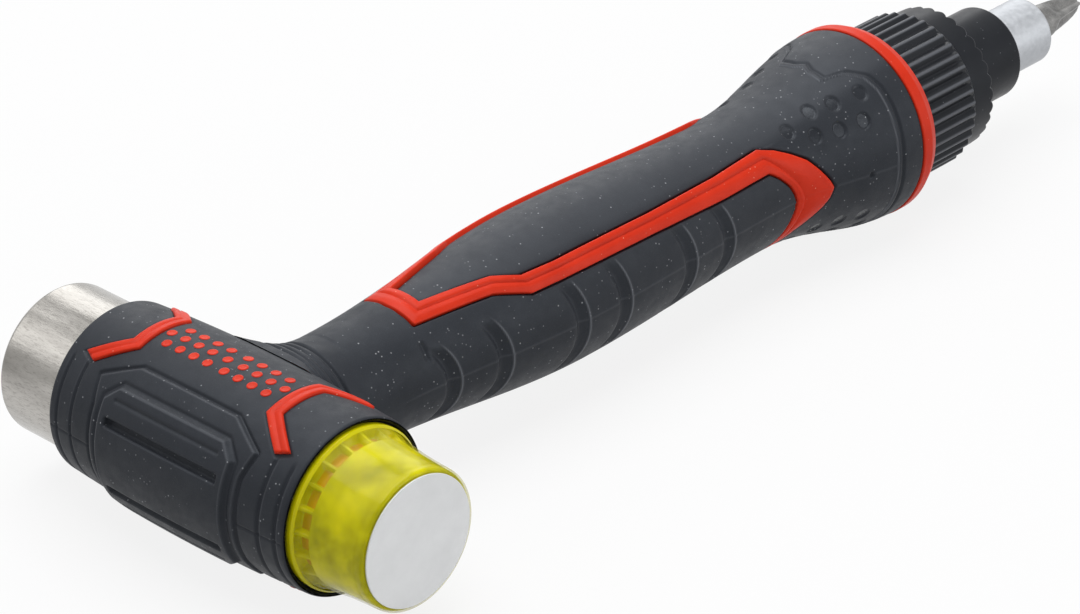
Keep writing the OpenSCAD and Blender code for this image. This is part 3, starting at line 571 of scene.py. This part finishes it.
coreProfile = roundedProfile([
    (146, 13, 0), (159.7, 13, 0.1), (159.7, 17.7, 0.45), (157.6, 18.7, 0.8), (155.35, 18.7, 0.35),
    (155.35, 14.3, 0.1), (146, 14.3, 0.2), (124, 8.5, 0.5), (14, 8.5, 0.2), (14, 6.05, 0.1), (118, 6.05, 0)])
gridPiece("red_core", spun(coreProfile, "x"), redPlastic, "hammer_body", ["handle_core"])


# head cover

cover = {"half": 28.4, "barrelHalf": 27.8, "barrelStep": 0.2, "corner": 0.6, "midR": 16.4, "endR": 15.5,
         "arcR": 16, "steelMouth": 14.0, "plasticMouth": 14.8, "boreR": 12.9}
# outlines as (y, angle from the top towards the front); edges, lines and painted highlights at a distance
# from the outline
pad = {"outline": [(-11.4, 31), (11.4, 31), (18.6, 45), (17.4, 62), (17.4, 118), (18.6, 135),
                   (11.4, 149), (-11.4, 149), (-18.6, 135), (-17.4, 118), (-17.4, 62), (-18.6, 45)],
       "rise": 0.3, "edge": 0.7, "edgeAt": 0, "line": 0.4, "lineAt": 0.35, "lineWidth": 0.3,
       "wearAndHighlight": 0.14, "wearAndHighlightAt": -0.3, "wearAndHighlightWidth": 0.14}
plate = {"outline": [(-12.6, 45), (12.6, 45), (15.6, 55), (15.6, 125),
                     (12.6, 135), (-12.6, 135), (-15.6, 125), (-15.6, 55)],
         "rise": 0.75, "edge": 0.9, "edgeAt": -0.4, "line": 0.25, "lineAt": 0.3, "lineWidth": 0.35,
         "wearAndHighlight": 0.22, "wearAndHighlightAt": -0.75, "wearAndHighlightWidth": 0.14}
slots = {"angles": [68, 112], "half": 13.4, "endFade": 0.6, "width": 0.7, "edge": 0.3, "depth": 1.25}
fineLines = {"angles": [54.5, 125.5], "half": 12.4, "endFade": 0.6, "width": 0.3, "depth": 0.3}
coverRings = {"stations": [22.7, 26.4], "start": 42, "stop": 138, "fade": 8, "depth": 0.4, "width": 0.3,
              "wearAndHighlight": 0.12, "wearAndHighlightAt": 0.5, "wearAndHighlightWidth": 0.12}
coverSeam = {"angle": 90, "perDegree": 0.28, "width": 0.16, "depth": 0.2, "start": 17.8, "startFade": 0.5}
chevron = {"inner": [(15.2, 0), (15.2, 20.8), (22.2, 41.4)], "outer": [(17.9, 0), (17.9, 16.5), (24.8, 37)],
           "profile": [(0, -0.8), (0.0, 0.05), (0.06, 0.3), (0.14, 0.36), (0.4, 0.36), (0.46, 0.24),
                       (0.54, 0.24), (0.6, 0.36), (0.86, 0.36), (0.94, 0.3), (1, 0.05), (1, -0.8)],
           "steps": 16, "endDrop": 1.2, "lowerLean": 0.82, "past": -5,
           "bed": 0.25, "bedGap": 0.2, "bedEdge": 0.35}


def coverRadius(y):
    return cover["midR"] - (cover["midR"] - cover["endR"]) * (np.asarray(y, float) / cover["half"]) ** 2


def asArc(outline):
    return [(y, math.radians(angle) * cover["arcR"]) for y, angle in outline]


# height over the plain cover, and painted highlights along its raised edges and ring lines
def coverMarks(y, angle):
    turn = np.degrees(angle % fullTurn)
    arc = np.radians(turn) * cover["arcR"]
    rise, wearAndHighlight = np.zeros_like(y), np.zeros_like(y)
    for m in (pad, plate):
        d = outlineDistance(y, arc, asArc(m["outline"]))
        rise += m["rise"] * step(m["edgeAt"] - d, m["edge"])
        rise -= m["line"] * bell(d - m["lineAt"], m["lineWidth"])
        # painted highlights along the edges of the pad and the plate
        wearAndHighlight = np.maximum(wearAndHighlight, m["wearAndHighlight"] * bell(d - m["wearAndHighlightAt"], m["wearAndHighlightWidth"]))

    m = slots
    for a in m["angles"]:
        across = np.abs(arc - math.radians(a) * cover["arcR"])
        rise -= m["depth"] * step(m["half"] - np.abs(y), m["endFade"]) * step(m["width"] - across, m["edge"])

    m = fineLines
    for a in m["angles"]:
        across = arc - math.radians(a) * cover["arcR"]
        rise -= m["depth"] * step(m["half"] - np.abs(y), m["endFade"]) * bell(across, m["width"])

    m = coverRings
    front = step(turn - m["start"], m["fade"]) * (1 - step(turn - m["stop"], m["fade"]))
    for station in m["stations"]:
        past = np.abs(y) - station
        rise -= m["depth"] * bell(past, m["width"]) * front
        # painted highlights beside the ring lines
        wearAndHighlight = np.maximum(wearAndHighlight, m["wearAndHighlight"] * front * bell(past - m["wearAndHighlightAt"], m["wearAndHighlightWidth"]))

    m = coverSeam
    line = bell((turn - m["angle"]) * m["perDegree"], m["width"])
    rise -= m["depth"] * line * step(np.abs(y) - m["start"], m["startFade"])

    m = chevron
    near, far = m["inner"], m["outer"]
    strip = [(near[0][0], m["past"])] + near[1:] + far[:0:-1] + [(far[0][0], m["past"])]
    top = np.minimum(turn, 360 - turn)
    for side in (top, 180 - top):
        d = outlineDistance(np.abs(y), np.radians(side) * cover["arcR"], asArc(strip))
        rise -= m["bed"] * (1 - step(d - m["bedGap"], m["bedEdge"]))
    return rise, wearAndHighlight


def coverEnd(sign, mouth):
    half, corner = cover["half"], cover["corner"]
    edge = coverRadius(cover["barrelHalf"]) - corner
    bend = np.radians([20, 40, 60, 80, 90])
    end = [(cover["barrelHalf"] + corner * math.sin(t), edge + corner * math.cos(t)) for t in bend]
    end += [(half, mouth + 0.5), (half, mouth + 0.3), (half - 0.1, mouth + 0.1), (half - 0.3, mouth)]
    end += [(half - 1.9, mouth), (half - 2, mouth - 0.1), (half - 2, cover["boreR"])]
    y, r = np.array(end).T
    return np.tile(sign * y, (len(turns), 1)), np.tile(r, (len(turns), 1))


barrelStop = cover["barrelHalf"] + 0.01
gridY, gridTurn = np.meshgrid(np.arange(-cover["barrelHalf"], barrelStop, cover["barrelStep"]), turns)
rise, wearAndHighlight = coverMarks(gridY, gridTurn)
lowY, lowR = [values[:, ::-1] for values in coverEnd(-1, cover["plasticMouth"])]
highY, highR = coverEnd(1, cover["steelMouth"])
allY = np.concatenate([lowY, gridY, highY], 1)
allR = np.concatenate([lowR, coverRadius(gridY) + rise, highR], 1)
allWearAndHighlight = np.concatenate([lowY * 0, wearAndHighlight, highY * 0], 1)
barrel = np.stack([-allR * np.sin(turns[:, None]), allY, allR * np.cos(turns[:, None])], -1)
gridPiece("rubber_head_cover", barrel, rubber, "hammer_body", ["head_cover"],
          layers={"wearAndHighlight": allWearAndHighlight})
print("head cover made", barrel.shape)


def chevronRun(edge):
    pairs = np.array(chevron[edge], float)
    count = chevron["steps"]
    half = [a + (b - a) * k / count for a, b in zip(pairs[:-1], pairs[1:]) for k in range(count)]
    half = np.array(half + [pairs[-1]])
    other = half[:0:-1].copy()
    other[:, 1] = -other[:, 1]
    return np.concatenate([other, half])[:, None, :]


innerRun, outerRun = chevronRun("inner"), chevronRun("outer")
share, height = np.array(chevron["profile"]).T[:, None, :]
bandY = innerRun[..., 0] * (1 - share) + outerRun[..., 0] * share
bandTurn = np.radians(innerRun[..., 1] * (1 - share) + outerRun[..., 1] * share)
bandR = coverRadius(bandY) + height
bandR[[0, -1]] -= chevron["endDrop"]
for values in (bandTurn, bandY):  # the end rows go straight down
    values[0], values[-1] = values[1], values[-2]
for end, ySign in (("steel", 1), ("plastic", -1)):
    for side, zSign, lean in (("upper", 1, bandTurn), ("lower", -1, bandTurn * chevron["lowerLean"])):
        strip = np.stack([-bandR * np.sin(lean), ySign * bandY, zSign * bandR * np.cos(lean)], -1)
        gridPiece("chevron_" + end + "_" + side, strip, redPlastic, "hammer_body", ["head_chevrons"],
                  wrapU=False, flip=(ySign * zSign > 0))

dots = {"rows": [(-1, 8), (0, 9), (1, 8)], "rowAngle": 9.4, "pitch": 3.3, "gap": 0.35, "steps": 20,
        "profile": [(0.92, -0.6), (0.92, 0.03), (0.88, 0.08), (0.8, 0.11), (0.66, 0.12), (0.6, 0.09),
                    (0.3, 0.08), (0.001, 0.08)]}


def dotPoints(y, angle, zSign):
    out = np.array([-math.sin(angle), 0, zSign * math.cos(angle)])
    across = np.array([math.cos(angle), 0, zSign * math.sin(angle)])
    along = np.array([0, 1, 0])
    centre = out * float(coverRadius(y)) + along * y
    return [centre + across * r * math.cos(t) + along * r * math.sin(t) + out * h
            for r, h in dots["profile"] for t in circle(dots["steps"])]


def dotFaces(start, zSign):
    count = dots["steps"]
    faces = []
    for ring in range(len(dots["profile"]) - 1):
        first = start + ring * count
        for k in range(count):
            a, b = first + k, first + (k + 1) % count
            faces.append([a, b, b + count, a + count][::zSign])
    return faces


allDots, allFaces = [], []
for zSign in (1, -1):
    for row, count in dots["rows"]:
        for place in np.arange(count) - (count - 1) / 2:
            y = place * dots["pitch"] + np.sign(place) * dots["gap"]
            allFaces += dotFaces(len(allDots), zSign)
            allDots += dotPoints(y, math.radians(row * dots["rowAngle"]), zSign)
meshPiece("red_dots", np.array(allDots), allFaces, redPlastic, "hammer_body", ["head_dots"])
print("chevrons and dots made")


# faces

thread = {"low": 17.6, "high": 27.2, "fade": 0.8, "pitch": 1.75, "depth": 0.75, "crestR": 5.95, "step": 0.18}


def threadRadius(along, turn, r):
    inside = step(along - thread["low"], thread["fade"]) * step(thread["high"] - along, thread["fade"])
    wave = 0.5 - 0.5 * np.cos(fullTurn * along / thread["pitch"] + turn)
    return r - thread["depth"] * inside * wave


steelProfile = np.concatenate([
    np.array([(17.1, 0.01), (17.1, 5.2), (17.2, 5.3)]),
    level(thread["crestR"], np.arange(thread["low"], thread["high"], thread["step"])),
    roundedProfile([(27.35, 5.6, 0), (27.4, 13.6, 0.35), (43.3, 13.6, 0.7), (43.3, 0.01, 0)])])
gridPiece("steel_face", spun(steelProfile, "y", 240, threadRadius), faceSteel, "steel_face", ["steel_face"])

rimProfile = roundedProfile([(-27.4, 12.9, 0), (-27.4, 14.4, 0.3), (-28.9, 14.4, 0.35), (-29.3, 14.0, 0)])
shellProfile = roundedProfile([
    (-29.3, 14.0, 0), (-30.8, 13.45, 1.6), (-36, 12.85, 12), (-41.2, 12.55, 0.2), (-41.5, 12.35, 0.2),
    (-41.9, 12.5, 0.3), (-43.1, 12.45, 0.8), (-43.1, 11.2, 0)])
for name, profile, mat in (("clear_rim", rimProfile, yellowRim), ("clear_shell", shellProfile, yellowClear)):
    gridPiece(name, spun(profile, "y", 240), mat, "plastic_face", ["plastic_face"],
              flip=True)

pocket = {"count": 20, "shift": math.radians(10), "wall": 0.1, "wallEdge": 0.05, "back": 28.7, "front": 31.5,
          "endEdge": 0.25, "depth": 1.5}


def pocketRadius(along, turn, r):
    place = ((turn - pocket["shift"]) * pocket["count"] / fullTurn) % 1
    hollow = step(place - pocket["wall"], pocket["wallEdge"])
    hollow = hollow * (1 - step(place - (1 - pocket["wall"]), pocket["wallEdge"]))
    deep = step(-along - pocket["back"], pocket["endEdge"])
    deep = deep * (1 - step(-along - pocket["front"], pocket["endEdge"]))
    return r - pocket["depth"] * hollow * deep


# the core lies close under the shell, with fine steps along the pockets
coreCorners = roundedProfile([
    (-27.5, 6.1, 0), (-27.5, 13.9, 0.15), (-35.4, 12.55, 0), (-42.75, 12.15, 0.6), (-42.75, 0.01, 0)])
sideY = np.linspace(-27.75, -34.2, 44)
sideR = np.interp(-sideY, [27.7, 28.5, 29.2, 31, 35.4], [13.9, 13.9, 13.5, 13.0, 12.55])
corePoints = np.concatenate([
    coreCorners[coreCorners[:, 0] > -27.72],
    np.stack([sideY, sideR], 1),
    coreCorners[coreCorners[:, 0] < -35.3]])
gridPiece("cloudy_core", spun(corePoints, "y", 480, pocketRadius), yellowCore, "plastic_face", [],
          flip=True)
pocketFloor = np.array([(-28.4, 11.9), (-28.5, 12.1), (-31.6, 11.8), (-31.7, 11.6)])
gridPiece("amber_pocket_floor", spun(pocketFloor, "y", 120), amberClear, "plastic_face", [],
          flip=True)
labelProfile = roundedProfile([(-43.0, 11.5, 0), (-43.28, 11.5, 0.06), (-43.28, 0.01, 0)])
gridPiece("round_label", spun(labelProfile, "y", 160), labelPaper, "plastic_face", ["face_label"],
          flip=True)
print("faces made")


# ratchet end

ribs = {"count": 40, "base": 14.76, "foot": 14.6, "rise": 0.72, "bulge": 0.75, "start": 159.9, "stop": 175.1,
        "boreR": 13.1, "startRun": 0.4, "startEdge": 0.5, "stopRun": 0.6, "stopEdge": 0.7,
        "wearAndHighlight": 0.55, "highlightBand": 0.12, "turnSteps": 800}


def ribRadius(along, turn, r):
    bar = (0.5 + 0.5 * np.cos(turn * ribs["count"])) ** ribs["bulge"]
    ends = step(along - ribs["start"] - ribs["startRun"], ribs["startEdge"])
    ends = ends * (1 - step(along - ribs["stop"] + ribs["stopRun"], ribs["stopEdge"]))
    return np.where(r > ribs["foot"], r + ribs["rise"] * bar * ends, r)


base = ribs["base"]
ringProfile = np.concatenate([
    roundedProfile([(ribs["start"], ribs["boreR"], 0), (ribs["start"], base, 0.25), (160.5, base, 0)]),
    level(base, np.arange(160.7, 174.0, 0.4)),
    level(base, np.arange(174.0, 174.95, 0.1)),
    roundedProfile([(175.0, 14.7, 0), (ribs["stop"], 14.5, 0.05), (ribs["stop"], ribs["boreR"], 0)])])
ringX, ringR = ringProfile.T[:, None, :]
ribTop = (ribRadius(ringX, circle(ribs["turnSteps"])[:, None], ringR) - ringR) / ribs["rise"]
ringSkin = spun(ringProfile, "x", ribs["turnSteps"], ribRadius)
# the rib crests are painted lighter: painted highlights along the ribs
gridPiece("direction_ring", ringSkin, blackPlastic, "direction_ring", ["selector_ring"],
          flip=True, layers={"wearAndHighlight": ribs["wearAndHighlight"] * bell(ribTop - 1, ribs["highlightBand"])})

cap = {"flangeR": 14.25, "collarR": 9.2, "boreR": 6.15, "turnSteps": 640,
       "scallops": 32, "depth": 0.85, "round": 0.8, "middle": 0.8, "edge": 180.9, "edgeWidth": 0.8,
       "rimR": 12.9, "rimEdge": 0.8, "wearAndHighlight": 0.5, "wearAndHighlightAt": 181.05, "edgeLineR": 13.4, "wearAndHighlightWidth": 0.2}
flangeR, collarR = cap["flangeR"], cap["collarR"]
capProfile = np.concatenate([
    roundedProfile([(175.3, 8, 0), (175.3, flangeR, 0.25), (179.4, flangeR, 0)]),
    level(flangeR, 179.6 + 0.2 * np.arange(6)),
    roundedProfile([
        (180.8, 14.22, 0), (181.1, 13.9, 0.12), (181.5, 13.2, 0.25), (181.5, collarR, 0.3),
        (195.8, collarR, 0.6), (195.8, cap["boreR"], 0.1), (190, cap["boreR"], 0)])])
capSkin = spun(capProfile, "x", cap["turnSteps"])
capX, capR = capProfile.T
wave = np.abs(np.sin(circle(cap["turnSteps"])[:, None] * cap["scallops"] / 2)) ** cap["round"]
edge = bell(capX - cap["edge"], cap["edgeWidth"]) * step(capR - cap["rimR"], cap["rimEdge"])
capSkin[..., 0] += cap["depth"] * edge * (wave - cap["middle"])
# a lighter line along the flange's scalloped edge
capEdgeLine = cap["wearAndHighlight"] * bell(capX - cap["wearAndHighlightAt"], cap["wearAndHighlightWidth"])
capEdgeLine *= step(capR - cap["edgeLineR"], cap["wearAndHighlightWidth"])
gridPiece("front_cap", capSkin, blackPlastic, "hammer_body", ["front_cap"], flip=True,
          layers={"wearAndHighlight": np.broadcast_to(capEdgeLine, capSkin.shape[:2])})


def hexRadius(turn, flats):
    return flats / 2 / np.cos((turn % (math.pi / 3)) - math.pi / 6)


sleeve = {"outerR": 6.6, "socketFlats": 6.51, "socketBelow": 4}


def sleeveRadius(along, turn, r):
    return np.where(r < sleeve["socketBelow"], hexRadius(turn, sleeve["socketFlats"]), r)


sleeveProfile = np.concatenate([
    roundedProfile([
        (196, 5, 0), (196, sleeve["outerR"], 0.2), (208.6, sleeve["outerR"], 0.5), (208.6, 4.2, 0)]),
    np.array([(208.55, 3.9)]),
    level(3.5, [208.3, 208.2, 200, 199.92])])
gridPiece("bit_sleeve", spun(sleeveProfile, "x", 240, sleeveRadius), sleeveAlloy, "spindle", ["bit_sleeve"],
          flip=True)

bit = {"flats": 6.35, "cornerR": 3.75, "stemR": 3.45, "hexEnd": 209.4, "pointStart": 213.6, "fluteRun": 4.5,
       "fluteDepth": 0.52, "armTurn": 0.35, "armShape": 1.1, "back": 199.9, "tip": 224.9,
       "taper": [(212, 3.45), (215, 3.35), (217, 3.15), (219, 2.85), (221, 2.5), (222.8, 2.05), (224.2, 1.5),
                 (224.9, 0.95)]}


def bitRadius(along, turn, r):
    hexPart = np.minimum(hexRadius(turn, bit["flats"]), r)
    flute = ease((along - bit["pointStart"]) / bit["fluteRun"]) * bit["fluteDepth"]
    arms = np.abs(np.sin(2 * (turn + bit["armTurn"]))) ** bit["armShape"]
    return np.where(along < bit["hexEnd"], hexPart, r * (1 - flute * arms))


taperX = np.arange(212.2, 224.95, 0.2)
bitProfile = np.concatenate([
    np.array([(bit["back"], 0.01), (bit["back"], 3.0), (200.0, 3.3), (200.4, bit["cornerR"])]),
    level(bit["cornerR"], np.arange(201, 209.3, 0.5)),
    np.array([(bit["hexEnd"], 3.55)]),
    level(bit["stemR"], [209.8, 210.4, 211.2, 212]),
    np.stack([taperX, np.interp(taperX, *np.array(bit["taper"]).T)], 1),
    np.array([(bit["tip"], 0.7), (bit["tip"], 0.01)])])
gridPiece("cross_bit", spun(bitProfile, "x", 192, bitRadius), bitSteel, "bit", ["screwdriver_bit"],
          flip=True)
print("ratchet end made")


# inner pieces keep their CAD shapes
inner = [
    (brightSteel, ["shaft_tube", "shaft_pin", "steel_face_washer", "plastic_face_washer", "plastic_face_stud",
                   "spindle", "pawl_pins"]),
    (forgedSteel, ["head_block", "ratchet_gear", "left_pawl", "right_pawl", "socket_magnet"]),
    (springSteel, ["detent_spring", "spindle_clip", "left_pawl_spring", "right_pawl_spring", "bit_clip"]),
    (bronze, ["bearing_bush", "thrust_washer"]),
    (blackPlastic, ["ratchet_housing"])]
for mat, names in inner:
    for name in names:
        nodes[name].data.materials.clear()
        nodes[name].data.materials.append(mat)
print("inner pieces painted")


# stage, light and camera

stage = {"half": 6, "drop": 0.0001, "floorGlow": 0.86, "skyLight": 0.27}
floorMat = makeMaterial("pale floor", {
    "dark": (0.60, 0.60, 0.605), "light": (0.63, 0.63, 0.635), "patchScale": 3,
    "rough": (0.6, 0.7), "gloss": 0.1})
floorTree = floorMat.node_tree
floorBlend = floorTree.nodes.new("ShaderNodeMixShader")
floorGlow = floorTree.nodes.new("ShaderNodeEmission")
floorShare = spread(floorTree, seenRays(floorTree), 0, stage["floorGlow"], 0, 1)
floorTree.links.new(floorShare, floorBlend.inputs["Fac"])
floorTree.links.new(floorTree.nodes["Principled BSDF"].outputs["BSDF"], floorBlend.inputs[1])
floorTree.links.new(floorGlow.outputs["Emission"], floorBlend.inputs[2])
floorTree.links.new(floorBlend.outputs["Shader"], floorTree.nodes["Material Output"].inputs["Surface"])
floorMesh = bpy.data.meshes.new("floor")
half, drop = stage["half"], stage["drop"]
floorCorners = [(-half, -half, -drop), (half, -half, -drop), (half, half, -drop), (-half, half, -drop)]
floorMesh.from_pydata(floorCorners, [], [(0, 1, 2, 3)])
floorMesh.materials.append(floorMat)
floor = bpy.data.objects.new("floor", floorMesh)
scene.collection.objects.link(floor)

world = bpy.data.worlds.new("studio")
scene.world = world
world.use_nodes = True
skyTree = world.node_tree
backdrop = skyTree.nodes["Background"]
backdrop.inputs["Color"].default_value = (1, 1, 1, 1)
skyShare = spread(skyTree, seenRays(skyTree), stage["skyLight"], 1, 0, 1)
skyTree.links.new(skyShare, backdrop.inputs["Strength"])

lamps = [
    {"name": "top box", "size": 1.5, "power": 30, "place": (0.0, 0.2, 1.5), "aim": (0, 0, 0)},
    {"name": "left box", "size": 0.55, "power": 1.1, "place": (-0.65, 0.71, 0.68), "aim": (-0.1, 0, 0.02)},
    {"name": "right box", "size": 0.6, "power": 2.0, "place": (0.6, 0.75, 0.56), "aim": (0, 0, 0.02)},
    {"name": "front fill", "size": 1.0, "power": 8, "place": (0.6, -1.4, 0.5), "aim": (0, 0, 0.02)}]
for lamp in lamps:
    data = bpy.data.lights.new(lamp["name"], "AREA")
    data.size = lamp["size"]
    data.energy = lamp["power"]
    item = bpy.data.objects.new(lamp["name"], data)
    item.location = lamp["place"]
    item.rotation_euler = (Vector(lamp["aim"]) - Vector(lamp["place"])).to_track_quat("-Z", "Y").to_euler()
    scene.collection.objects.link(item)

# the camera's place is in millimetres from where the axes cross
view = {"lens": 144.18, "sensor": 36, "shiftX": -0.0365, "shiftY": -0.0214, "near": 0.01,
        "place": (-396.94, -462.73, 369.59), "turn": (60.721, 0.9, -46.519)}
cameraData = bpy.data.cameras.new("camera")
cameraData.lens = view["lens"]
cameraData.sensor_width = view["sensor"]
cameraData.shift_x = view["shiftX"]
cameraData.shift_y = view["shiftY"]
cameraData.clip_start = view["near"]
camera = bpy.data.objects.new("camera", cameraData)
camera.location = Vector(view["place"]) / 1000 + Vector(origin)
camera.rotation_euler = [math.radians(v) for v in view["turn"]]
scene.collection.objects.link(camera)
scene.camera = camera
scene.view_settings.view_transform = "Standard"
print("stage set")
